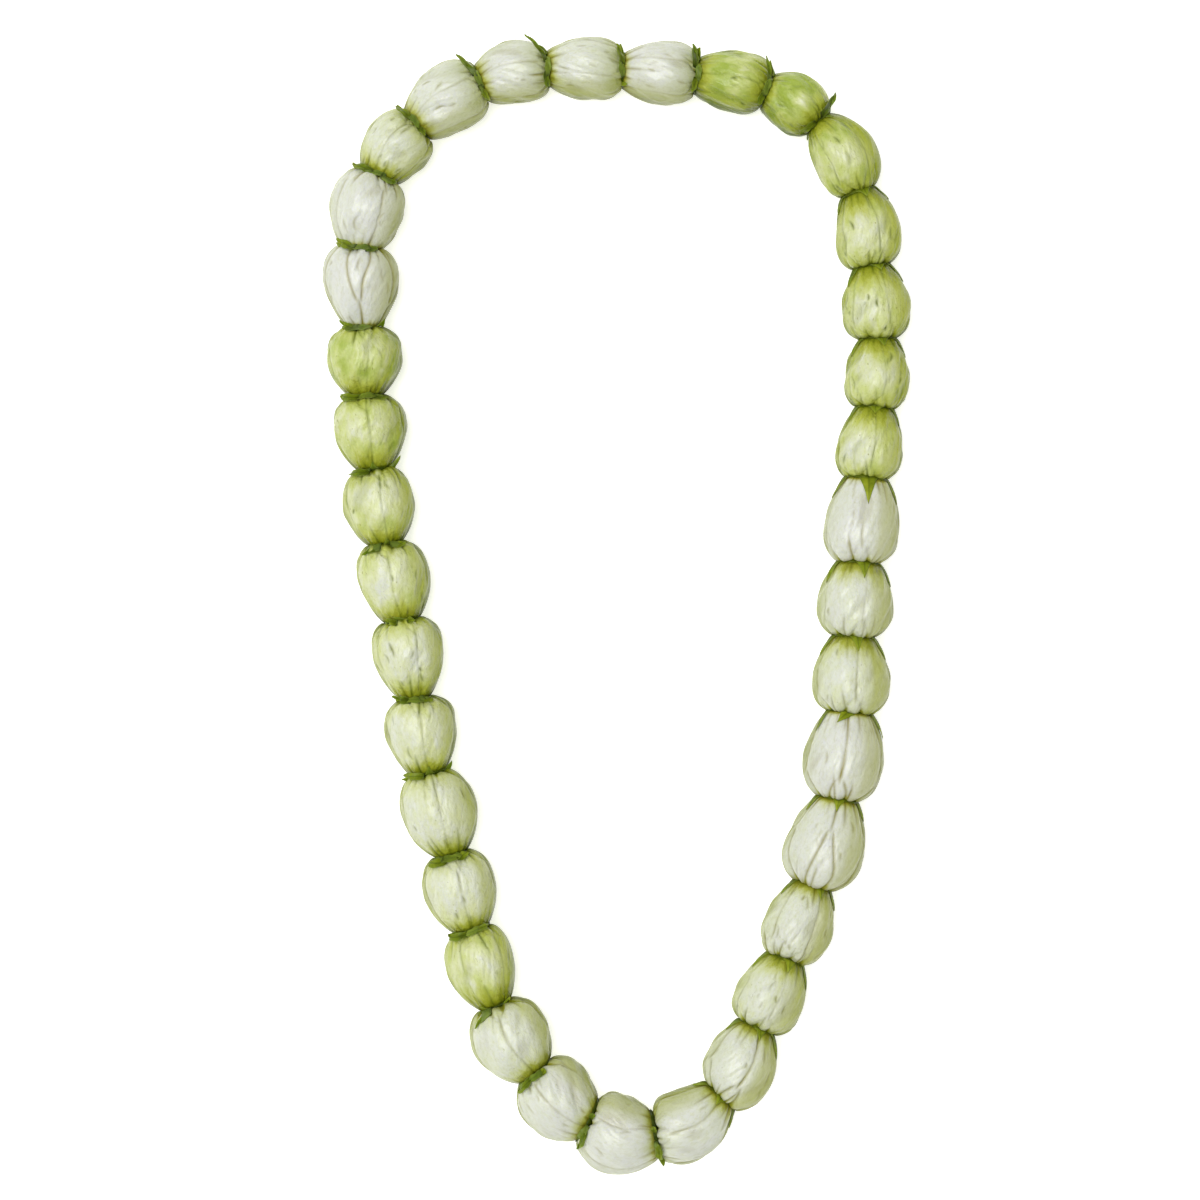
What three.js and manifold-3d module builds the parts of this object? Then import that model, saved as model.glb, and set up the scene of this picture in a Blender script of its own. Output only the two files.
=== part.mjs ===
// A fresh flower lei: closed, waxy flower buds strung base to apex on one thread and laid flat in a
// long loop. Millimetres, +Z up. The lei lies on z = 0, +Y runs to the neck end of the loop, and the
// origin is on the surface below the middle of the lei.
//
// A bud has five petals that meet in seams. Towards the apex each seam splits round a small infolded
// lobe, so that ten lobes ring the dimpled apex. Five sepals stand below the seams, at the base.
import * as THREE from "three";
import { mergeVertices } from "three/addons/utils/BufferGeometryUtils.js";
import Module from "manifold-3d";

const GAP = 0.3; // clear space between neighbouring pieces
const THREAD = 1.0; // diameter of the thread
const THREAD_SIDES = 6;
const KNOT = 2.6; // diameter of the knot in the thread
const POCKET_CLEAR = 0.45; // round the knot
const PETALS = 5;
const FLAT = 0.35; // how far a bud's own weight presses it flat on the surface
const GROUND_SIZE = 1000; // of the slab that cuts the flat spots under the buds
const GROUND_DEPTH = 10;
const MERGE = 1e-4; // places nearer than this are one
const CENTRE_X = 0.09; // moves the rows below so that the origin is under the middle of the lei
const CENTRE_Y = -1.02;

// Shape of a corolla, as shares of its length or of its greatest radius.
const WIDEST = 0.62; // where it is widest, from its base
const BASE_RADIUS = 0.4;
const FULLNESS = 2.7; // exponent of the rounded apex: 2 is an ellipse, more is squarer
const DIMPLE = 0.1; // depth of the hollow in the apex
const SEAM_DEPTH = 0.035; // a seam below its petals, near the base
const LOBE_DEPTH = 0.12; // the valleys between the lobes round the apex
const LOBE_START = 0.35; // where a seam starts to split round its lobe
const LOBE_END = 0.95; // where the valleys have their whole depth
const LOBE_DROP = 0.3; // how far those valleys lie behind the lobes, as a share of their depth
const DROP_START = 0.8;
const RINGS = [0.008, 0.06, 0.2, 0.42, 0.65, 0.86, 0.975]; // where the surface is sectioned
const COLUMNS_PER_PETAL = 4; // seam, valley, petal, valley
const COLUMNS = PETALS * COLUMNS_PER_PETAL;
const BORE_SIDES = COLUMNS / 2; // of the hole for the thread
const SPREAD_START = 0.1; // where the columns beside a seam start to leave the edges of its sepal
const SPREAD_END = 0.5; // where all columns stand evenly

// Shape of a sepal. It grows out of the corolla between the first two sections.
const SEPAL_THICK = 0.7;
const SEPAL_CLEAR = 0.35; // below a sepal that lies along the corolla
const SEPAL_ROOT = 0.035; // where its midline starts, as a share of the bud's length
const SEPAL_ROOT_HALF = 28; // half its width there, in degrees round the bud
const SEPAL_MIDDLE = 0.5; // where it starts to narrow to its tip, as a share of its length
const SEPAL_LEAST = 1.2; // its width there is this and a share of its length
const SEPAL_WIDTH = 0.5;
const SEPAL_REACH = 0.8; // how far along the bud a sepal of length 1 comes, when it lies along it
const SEPAL_STEP = 0.05; // over which its slope is taken, as a share of its length
const SEPAL_LIFT = 5; // degrees of lean past which a sepal stands free
const SEPAL_WANDER = 16; // degrees by which the leans of such sepals differ
const SEPAL_INWARD = 0.2; // lean of a sepal on the inner side of the loop, as a share of the outer one's
const SEPAL_BACK = 0.6; // clear space between a sepal that bends back and the apex behind it

// Where two buds meet, they press on each other along a plane. Its normal lies this far from the
// axis of the bud before it to the axis of the bud after it, so the rounded apex keeps its form.
const CONTACT_BIAS = 0.35;

// One row for each bud, clockwise from the top left as seen from above. x, y: where the thread enters
// its base. width: its greatest width. green: its colour, from 0, white, to 1, lime. sepal: free length
// of its sepals. lean: how far those on the outer side of the loop stand off the corolla, in degrees.
// roll: how far a seam is turned from straight up towards the outer side, in degrees.
const BUDS = [
  { x: -42, y: 159, width: 19.5, green: 0.08, sepal: 6, lean: 90, roll: 10 },
  { x: -21.5, y: 163.5, width: 19.5, green: 0.12, sepal: 6.5, lean: 90, roll: -20 },
  { x: 1.5, y: 163, width: 19.5, green: 0.05, sepal: 4.5, lean: 75, roll: 20 },
  { x: 24, y: 161.5, width: 19, green: 0.9, sepal: 5.5, lean: 70, roll: 0 },
  { x: 45.5, y: 157, width: 18.5, green: 1, sepal: 5.5, lean: 95, roll: 20 },
  { x: 61, y: 147.5, width: 20, green: 0.6, sepal: 4.5, lean: 90, roll: 35 },
  { x: 73.5, y: 126, width: 20.5, green: 0.5, sepal: 4.5, lean: 0, roll: 15 },
  { x: 77.5, y: 103.5, width: 20.5, green: 0.5, sepal: 4.5, lean: 5, roll: 20 },
  { x: 79.5, y: 81.5, width: 20, green: 0.5, sepal: 4.5, lean: 5, roll: 10 },
  { x: 78.5, y: 60.5, width: 20.5, green: 0.5, sepal: 4.5, lean: 0, roll: 0 },
  { x: 76, y: 38.5, width: 23, green: 0.05, sepal: 9.5, lean: 0, roll: 0 },
  { x: 73.5, y: 13, width: 23, green: 0.25, sepal: 6.5, lean: 0, roll: 10 },
  { x: 72, y: -9.5, width: 24, green: 0.3, sepal: 6, lean: 0, roll: 5 },
  { x: 70.5, y: -32.5, width: 24.5, green: 0.03, sepal: 5, lean: 20, roll: -5 },
  { x: 67, y: -59, width: 24.5, green: 0.08, sepal: 4.5, lean: 5, roll: 0 },
  { x: 59.5, y: -85, width: 21, green: 0.15, sepal: 5, lean: 5, roll: 25 },
  { x: 51.5, y: -107.5, width: 21.5, green: 0.25, sepal: 5.5, lean: 0, roll: 10 },
  { x: 42.5, y: -128.5, width: 22.5, green: 0.15, sepal: 4.5, lean: 5, roll: 10 },
  { x: 31.5, y: -149.5, width: 22.5, green: 0.12, sepal: 4, lean: 20, roll: 0 },
  { x: 11.5, y: -161.5, width: 24.5, green: 0.05, sepal: 5.5, lean: 80, roll: -20 },
  { x: -9, y: -157, width: 24, green: 0.08, sepal: 4, lean: 75, roll: 10 },
  { x: -25, y: -142.5, width: 24, green: 0.2, sepal: 3.5, lean: 60, roll: 0 },
  { x: -37, y: -122.5, width: 21, green: 0.55, sepal: 5, lean: 80, roll: 30 },
  { x: -44.5, y: -99, width: 22.5, green: 0.3, sepal: 3.5, lean: 60, roll: -5 },
  { x: -50.5, y: -76.5, width: 23, green: 0.3, sepal: 4, lean: 55, roll: -5 },
  { x: -57.5, y: -51.5, width: 22, green: 0.35, sepal: 3.5, lean: 60, roll: -5 },
  { x: -61.5, y: -29, width: 22, green: 0.4, sepal: 4, lean: 50, roll: -20 },
  { x: -65.5, y: -5, width: 22, green: 0.45, sepal: 5.5, lean: 80, roll: 0 },
  { x: -70.5, y: 18, width: 21.5, green: 0.5, sepal: 4, lean: 60, roll: -10 },
  { x: -74, y: 41, width: 22.5, green: 0.65, sepal: 4, lean: 65, roll: 0 },
  { x: -76.5, y: 63, width: 23, green: 0.75, sepal: 4.5, lean: 55, roll: -10 },
  { x: -77.5, y: 84, width: 23.5, green: 0.03, sepal: 4.5, lean: 45, roll: 0 },
  { x: -78, y: 108, width: 23, green: 0.05, sepal: 4.5, lean: 60, roll: -25 },
  { x: -73, y: 130.5, width: 20.5, green: 0.25, sepal: 4.5, lean: 70, roll: 10 },
  { x: -61.5, y: 146, width: 21.5, green: 0.1, sepal: 4, lean: 55, roll: 10 },
];
const KNOT_BUD = 18; // row of the bud whose dimple holds the knot
const KNOT_BACK = 2.9; // the knot's centre, behind the plane where that bud meets the next

const UP = new THREE.Vector3(0, 0, 1);
const WHITE = new THREE.Color(0xdfe0d4);
const LIME = new THREE.Color(0xb2cb5c);
const THREAD_COLOUR = new THREE.Color(0xe9e6da);

const wasm = await Module();
wasm.setup();
const { Manifold, Mesh } = wasm;

// A repeatable draw from 0 to 1 for one bud and one item of it.
function draw(bud, item) {
  const wave = Math.sin(bud * 12.9898 + item * 78.233) * 43758.5453;
  return wave - Math.floor(wave);
}

// A closed geometry as a solid that can be joined and cut.
function solidOf(geometry) {
  const bare = geometry.index ? geometry.toNonIndexed() : geometry.clone();
  bare.deleteAttribute("normal");
  bare.deleteAttribute("uv");
  const merged = mergeVertices(bare, MERGE);
  const mesh = new Mesh({
    numProp: 3,
    vertProperties: merged.attributes.position.array,
    triVerts: new Uint32Array(merged.index.array),
  });
  return new Manifold(mesh);
}

// A solid as a geometry, with its places counted from an origin.
function geometryOf(solid, origin) {
  const mesh = solid.getMesh();
  const geometry = new THREE.BufferGeometry();
  geometry.setAttribute("position", new THREE.BufferAttribute(mesh.vertProperties, mesh.numProp));
  geometry.setIndex(new THREE.BufferAttribute(mesh.triVerts, 1));
  geometry.translate(-origin.x, -origin.y, -origin.z);
  geometry.computeVertexNormals();
  return geometry;
}

// Places and triangles gathered into one geometry.
function surface(points, triangles) {
  const geometry = new THREE.BufferGeometry();
  const places = points.flatMap((p) => p.toArray());
  geometry.setAttribute("position", new THREE.Float32BufferAttribute(places, 3));
  geometry.setIndex(triangles);
  return geometry;
}

// Each bud's axis, length and the planes where it meets the buds before and after it.
function strung(rows) {
  const count = rows.length;
  const buds = rows.map((row, i) => {
    const next = rows[(i + 1) % count];
    const start = new THREE.Vector3(row.x + CENTRE_X, row.y + CENTRE_Y, 0);
    const end = new THREE.Vector3(next.x + CENTRE_X, next.y + CENTRE_Y, 0);
    const axis = end.clone().sub(start);
    const length = axis.length();
    axis.normalize();
    const side = UP.clone().cross(axis); // towards the outer side of the loop
    return { ...row, number: i + 1, radius: row.width / 2, start, end, axis, side, length };
  });
  buds.forEach((bud, i) => {
    const before = buds[(i + count - 1) % count];
    bud.before = before;
    bud.startFacing = before.axis.clone().lerp(bud.axis, CONTACT_BIAS).normalize();
  });
  buds.forEach((bud, i) => {
    bud.endFacing = buds[(i + 1) % count].startFacing;
  });
  return buds;
}

// Radius of the corolla at a share of its length, as a share of its greatest radius.
function profile(share) {
  if (share < WIDEST) {
    return BASE_RADIUS + (1 - BASE_RADIUS) * Math.sin(((Math.PI / 2) * share) / WIDEST);
  }
  const beyond = (share - WIDEST) / (1 - WIDEST);
  return (1 - beyond ** FULLNESS) ** (1 / FULLNESS);
}

// How deep a column of the corolla lies below its profile: one seam a petal near the base, and a
// valley on each side of the infolded lobe towards the apex.
function relief(share, column) {
  const within = column % COLUMNS_PER_PETAL;
  const apex = THREE.MathUtils.smoothstep(share, LOBE_START, LOBE_END);
  const seam = within === 0 ? SEAM_DEPTH * (1 - apex) : 0;
  const valley = within % 2 === 1 ? LOBE_DEPTH * apex : 0;
  return seam + valley;
}

// The angle of a column from the first seam. Near the base the columns beside a seam stand further
// apart, at the edges of the sepal that grows there.
function columnTurn(share, column) {
  const petal = Math.floor(column / COLUMNS_PER_PETAL) * (360 / PETALS);
  const even = THREE.MathUtils.smoothstep(share, SPREAD_START, SPREAD_END);
  const half = THREE.MathUtils.lerp(SEPAL_ROOT_HALF, 90 / PETALS, even);
  const within = [0, half, 180 / PETALS, 360 / PETALS - half][column % COLUMNS_PER_PETAL];
  return THREE.MathUtils.degToRad(petal + within);
}

// A place on or in a bud: t along its axis, r from it, and turned from straight up to the outer side.
function place(bud, t, r, turn) {
  return bud.start
    .clone()
    .addScaledVector(bud.axis, t)
    .addScaledVector(UP, r * Math.cos(turn))
    .addScaledVector(bud.side, r * Math.sin(turn));
}

// A place moved back to the bud's own side of the planes where it meets its neighbours, and as far
// from the plane at its base as room says.
function pressed(bud, point, room = GAP / 2) {
  const short = room - point.clone().sub(bud.start).dot(bud.startFacing);
  point.addScaledVector(bud.startFacing, Math.max(short, 0));
  const past = point.clone().sub(bud.end).dot(bud.endFacing) + GAP / 2;
  return point.addScaledVector(bud.endFacing, -Math.max(past, 0));
}

// How far a place lies short of clearing the rounded apex of a bud by room, along the bud's axis.
function shortOfApex(bud, point, room) {
  const off = point.clone().sub(bud.start);
  off.z -= bud.height;
  const t = off.dot(bud.axis);
  const r = off.addScaledVector(bud.axis, -t).length();
  const share = Math.min(r / (bud.radius + room), 1) ** FULLNESS;
  const cap = (1 - WIDEST) * bud.length + room;
  return WIDEST * bud.length + cap * (1 - share) ** (1 / FULLNESS) - t;
}

// The corolla's surface in sections from base to apex, about an axis at height 0.
function sections(bud) {
  const roll = THREE.MathUtils.degToRad(bud.roll);
  return RINGS.map((share) =>
    Array.from({ length: COLUMNS }, (_, column) => {
      const deep = relief(share, column);
      const drop = LOBE_DROP * deep * THREE.MathUtils.smoothstep(share, DROP_START, 1);
      const radius = (profile(share) - deep) * bud.radius;
      const t = (share - drop) * bud.length;
      const room = GAP / 2 + Math.min(share / RINGS[1], 1) * (SEPAL_THICK + SEPAL_CLEAR);
      return pressed(bud, place(bud, t, radius, roll + columnTurn(share, column)), room);
    }),
  );
}

// One mouth of the hole for the thread: a ring about a place on the thread, past the bud's base.
function mouth(bud, centre, run) {
  const across = UP.clone().cross(run).normalize();
  const over = run.clone().cross(across);
  const radius = (THREAD / 2 + GAP) / Math.cos(Math.PI / BORE_SIDES);
  return Array.from({ length: BORE_SIDES }, (_, side) => {
    const turn = THREE.MathUtils.degToRad(bud.roll) + (2 * Math.PI * side) / BORE_SIDES;
    const up = radius * Math.cos(turn);
    const out = radius * Math.sin(turn);
    const point = centre.clone().addScaledVector(over, up).addScaledVector(across, out);
    const short = GAP / 2 - point.clone().sub(bud.start).dot(bud.startFacing);
    return point.addScaledVector(run, Math.max(short, 0) / run.dot(bud.startFacing));
  });
}

// A place on a sepal's midline, as a distance along the bud's axis and one from it: along the corolla
// at its clearance, then turned off it about the sepal's root by its lean.
function midline(bud, along, lean) {
  const root = new THREE.Vector2(SEPAL_ROOT * bud.length, profile(SEPAL_ROOT) * bud.radius);
  const share = SEPAL_ROOT + (along * SEPAL_REACH * bud.sepal) / bud.length;
  const clear = SEPAL_CLEAR + SEPAL_THICK / 2;
  const on = new THREE.Vector2(share * bud.length, profile(share) * bud.radius + clear);
  return on.rotateAround(root, lean);
}

// The free part of a sepal: three places across its middle and one at its tip, on its outer face and
// then on its inner face. It is bent round the bud. One that leans far out lies past the plane where
// the bud meets the one before, in the hollow beside that one's rounded apex.
function sepal(bud, index) {
  const seam = THREE.MathUtils.degToRad(bud.roll) + (2 * Math.PI * index) / PETALS;
  const outwards = THREE.MathUtils.lerp(SEPAL_INWARD, 1, (1 + Math.sin(seam)) / 2);
  const wander = bud.lean > SEPAL_LIFT ? SEPAL_WANDER * (draw(bud.number, index) - 0.5) : 0;
  const lean = THREE.MathUtils.degToRad(Math.max(bud.lean * outwards + wander, 0));
  const width = SEPAL_LEAST + SEPAL_WIDTH * bud.sepal;

  const face = (along, offset, lift, across) => {
    const here = midline(bud, along, lean);
    const [ahead, behind] = [along + SEPAL_STEP, along - SEPAL_STEP].map((s) => midline(bud, s, lean));
    const run = ahead.sub(behind).normalize();
    return across.map((v) => {
      const t = here.x - run.y * offset;
      const r = here.y + run.x * offset;
      const point = place(bud, t, r, seam + (v * width) / 2 / here.y);
      point.z += bud.height;
      const short = Math.min(
        GAP / 2 + lift - point.clone().sub(bud.start).dot(bud.startFacing),
        shortOfApex(bud.before, point, SEPAL_BACK + lift),
      );
      point.addScaledVector(bud.startFacing, Math.max(short, 0));
      point.z = Math.max(point.z, GAP);
      return point;
    });
  };
  const half = SEPAL_THICK / 2;
  return [
    ...face(SEPAL_MIDDLE, half, 0, [-1, 0, 1]),
    ...face(1, half, 0, [0]),
    ...face(SEPAL_MIDDLE, -half, SEPAL_THICK, [-1, 0, 1]),
    ...face(1, -half, SEPAL_THICK, [0]),
  ];
}

// The triangles of one sepal. root and inside are the three places where its outer and inner faces
// leave the corolla, and first is the first place of its free part. Both faces are split alike.
function sepalTriangles(root, inside, first) {
  const [outL, outM, outR, outTip] = [first, first + 1, first + 2, first + 3];
  const [inL, inM, inR, inTip] = [first + 4, first + 5, first + 6, first + 7];
  return [
    [root[0], outL, root[1]],
    [root[1], outL, outM],
    [root[1], outM, outR],
    [root[1], outR, root[2]],
    [outL, outTip, outM],
    [outM, outTip, outR],
    [inside[0], inside[1], inL],
    [inside[1], inM, inL],
    [inside[1], inR, inM],
    [inside[1], inside[2], inR],
    [inL, inM, inTip],
    [inM, inR, inTip],
    [root[0], inside[0], inL],
    [root[0], inL, outL],
    [outL, inL, inTip],
    [outL, inTip, outTip],
    [root[2], inR, inside[2]],
    [root[2], outR, inR],
    [outR, inTip, inR],
    [outR, outTip, inTip],
  ].flat();
}

// A bud in one piece: its corolla, its sepals and the hole that the thread runs through, from one
// corner of the thread to the next.
function grown(bud, from, to) {
  const run = to.clone().sub(from).normalize();
  const outside = sections(bud).flat();
  for (const p of outside) p.z += bud.height;
  const entry = mouth(bud, from, run);
  const exit = mouth(bud, to.clone().addScaledVector(run, -DIMPLE * bud.length), run);
  const sepals = Array.from({ length: PETALS }, (_, index) => sepal(bud, index)).flat();
  const points = [...outside, ...entry, ...exit, ...sepals];

  const triangles = [];
  const top = RINGS.length - 1;
  const at = (ring, column) => ring * COLUMNS + ((column + COLUMNS) % COLUMNS);
  const hole = (end, side) => RINGS.length * COLUMNS + end * BORE_SIDES + (side % BORE_SIDES);
  const firstSepal = outside.length + entry.length + exit.length;
  for (let column = 0; column < COLUMNS; column++) {
    const within = column % COLUMNS_PER_PETAL;
    const underSepal = within === 0 || within === COLUMNS_PER_PETAL - 1;
    for (let ring = underSepal ? 1 : 0; ring < top; ring++) {
      const [a, b] = [at(ring, column), at(ring, column + 1)];
      const [c, d] = [at(ring + 1, column + 1), at(ring + 1, column)];
      triangles.push(a, d, b, b, d, c);
    }
  }
  for (let index = 0; index < PETALS; index++) {
    const seam = index * COLUMNS_PER_PETAL;
    const [root, inside] = [0, 1].map((ring) => [-1, 0, 1].map((beside) => at(ring, seam + beside)));
    triangles.push(...sepalTriangles(root, inside, firstSepal + (index * sepals.length) / PETALS));
  }
  for (let side = 0; side < BORE_SIDES; side++) {
    const [left, mid, right] = [2 * side, 2 * side + 1, 2 * side + 2];
    const [inA, inB] = [hole(0, side), hole(0, side + 1)];
    const [outA, outB] = [hole(1, side), hole(1, side + 1)];
    triangles.push(at(0, left), at(0, mid), inA, at(0, mid), at(0, right), inB, at(0, mid), inB, inA);
    triangles.push(at(top, mid), at(top, left), outA, at(top, right), at(top, mid), outB);
    triangles.push(at(top, mid), outA, outB);
    triangles.push(inA, inB, outA, inB, outB, outA);
  }
  return solidOf(surface(points, triangles));
}

// A straight round rod between two places, with flat ends.
function rod(from, to, radius) {
  const along = to.clone().sub(from);
  const geometry = new THREE.CylinderGeometry(radius, radius, along.length(), BORE_SIDES);
  const turn = new THREE.Quaternion().setFromUnitVectors(
    new THREE.Vector3(0, 1, 0),
    along.clone().normalize(),
  );
  geometry.applyQuaternion(turn);
  const middle = from.clone().add(to).multiplyScalar(0.5);
  geometry.translate(middle.x, middle.y, middle.z);
  return solidOf(geometry);
}

// The pocket that hides the knot, open to the dimple.
function pocket(from, to) {
  const run = to.clone().sub(from).normalize();
  const bottom = to.clone().addScaledVector(run, -(KNOT_BACK + KNOT / 2 + GAP));
  return rod(bottom, to.clone().addScaledVector(run, KNOT), KNOT / 2 + POCKET_CLEAR);
}

// The thread: a closed ring with a corner at each place where two buds meet, and its knot.
function thread(corners, knotAt) {
  const points = [];
  corners.forEach((corner, i) => {
    const before = corner.clone().sub(corners[(i + corners.length - 1) % corners.length]).normalize();
    const after = corners[(i + 1) % corners.length].clone().sub(corner).normalize();
    const run = before.clone().add(after).normalize();
    const across = UP.clone().cross(run).normalize();
    const over = run.clone().cross(across);
    const mitre = 1 / before.dot(run);
    for (let side = 0; side < THREAD_SIDES; side++) {
      const turn = (2 * Math.PI * side) / THREAD_SIDES;
      const p = corner.clone().addScaledVector(across, (THREAD / 2) * mitre * Math.cos(turn));
      points.push(p.addScaledVector(over, (THREAD / 2) * Math.sin(turn)));
    }
  });
  const triangles = [];
  const at = (ring, side) => (ring % corners.length) * THREAD_SIDES + (side % THREAD_SIDES);
  for (let ring = 0; ring < corners.length; ring++) {
    for (let side = 0; side < THREAD_SIDES; side++) {
      const [a, b] = [at(ring, side), at(ring, side + 1)];
      const [c, d] = [at(ring + 1, side + 1), at(ring + 1, side)];
      triangles.push(a, b, c, a, c, d);
    }
  }
  const knot = new THREE.IcosahedronGeometry(KNOT / 2, 1);
  knot.translate(knotAt.x, knotAt.y, knotAt.z);
  return solidOf(surface(points, triangles)).add(solidOf(knot));
}

// The surface that the lei lies on, as a slab below z = 0.
function ground() {
  const geometry = new THREE.BoxGeometry(GROUND_SIZE, GROUND_SIZE, GROUND_DEPTH);
  geometry.translate(0, 0, -GROUND_DEPTH / 2);
  return solidOf(geometry);
}

function waxy(green) {
  const color = WHITE.clone().lerp(LIME, green);
  return new THREE.MeshStandardMaterial({ color, roughness: 0.45, metalness: 0 });
}

const buds = strung(BUDS);
for (const bud of buds) {
  const lowest = Math.min(...sections(bud).flat().map((p) => p.z));
  bud.height = -lowest - FLAT; // of the bud's axis
}

// The thread passes from bud to bud at the mean of their heights.
const corners = buds.map((bud) => {
  const height = (bud.before.height + bud.height) / 2;
  return new THREE.Vector3(bud.start.x, bud.start.y, height);
});

const floor = ground();
const lei = new THREE.Group();
lei.name = "lei";
buds.forEach((bud, i) => {
  const [from, to] = [corners[i], corners[(i + 1) % corners.length]];
  let solid = grown(bud, from, to).subtract(floor);
  if (i === KNOT_BUD) solid = solid.subtract(pocket(from, to));
  const mesh = new THREE.Mesh(geometryOf(solid, from), waxy(bud.green));
  mesh.name = `bud_${String(bud.number).padStart(2, "0")}`;
  mesh.position.copy(from);
  lei.add(mesh);
});

const knotEnd = corners[(KNOT_BUD + 1) % corners.length];
const knotRun = knotEnd.clone().sub(corners[KNOT_BUD]).normalize();
const knotAt = knotEnd.clone().addScaledVector(knotRun, -KNOT_BACK);
const string = new THREE.Mesh(
  geometryOf(thread(corners, knotAt), corners[0]),
  new THREE.MeshStandardMaterial({ color: THREAD_COLOUR, roughness: 0.8, metalness: 0 }),
);
string.name = "thread";
string.position.copy(corners[0]);
lei.add(string);

export default lei;
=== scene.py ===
import math

import bpy
import numpy as np
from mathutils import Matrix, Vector


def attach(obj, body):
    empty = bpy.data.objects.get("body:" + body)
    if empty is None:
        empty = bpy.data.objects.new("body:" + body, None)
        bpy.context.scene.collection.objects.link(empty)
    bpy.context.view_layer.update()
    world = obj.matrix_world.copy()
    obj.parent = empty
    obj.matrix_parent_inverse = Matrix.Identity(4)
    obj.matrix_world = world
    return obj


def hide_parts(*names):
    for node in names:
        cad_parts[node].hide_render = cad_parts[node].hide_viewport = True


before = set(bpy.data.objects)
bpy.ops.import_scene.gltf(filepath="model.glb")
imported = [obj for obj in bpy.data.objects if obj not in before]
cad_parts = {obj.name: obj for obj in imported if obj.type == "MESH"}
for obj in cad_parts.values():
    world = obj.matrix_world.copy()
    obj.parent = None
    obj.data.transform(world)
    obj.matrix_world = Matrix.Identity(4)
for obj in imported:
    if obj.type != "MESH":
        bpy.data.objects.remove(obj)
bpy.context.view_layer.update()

# The lei's own measures, in millimetres, as in the part's source.
CENTRE_X = 0.09  # added to each place, so that the lei is centred
CENTRE_Y = -1.02
MM = 0.001
PHOTO_PIXELS = 1200  # the photograph's width
PHOTO_SCALE = 0.305  # millimetres for one pixel of it
PHOTO_MIDDLE = (-5.25, 0.35)  # the place below its middle

# Shape of a corolla, as shares of its length or of its greatest radius.
SWELL = 0.87
FULLNESS = 2.35
DIMPLE = 0.12
OVERLAP = 1.9  # how far the lobes of an apex reach round the next bud, in millimetres
PRESS = 0.4  # how far the bud's weight flattens it on the surface
THREAD = 1.0  # its thickness
BOW = 1.4  # how far a bud bows out where the string bends, as a multiple of the arc through its joints
BORE = 0.85  # radius of the hole for the thread
THREAD_SIDES = 18
THREAD_TWISTS = 160  # in the whole ring
KNOT_ROWS = 72

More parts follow.
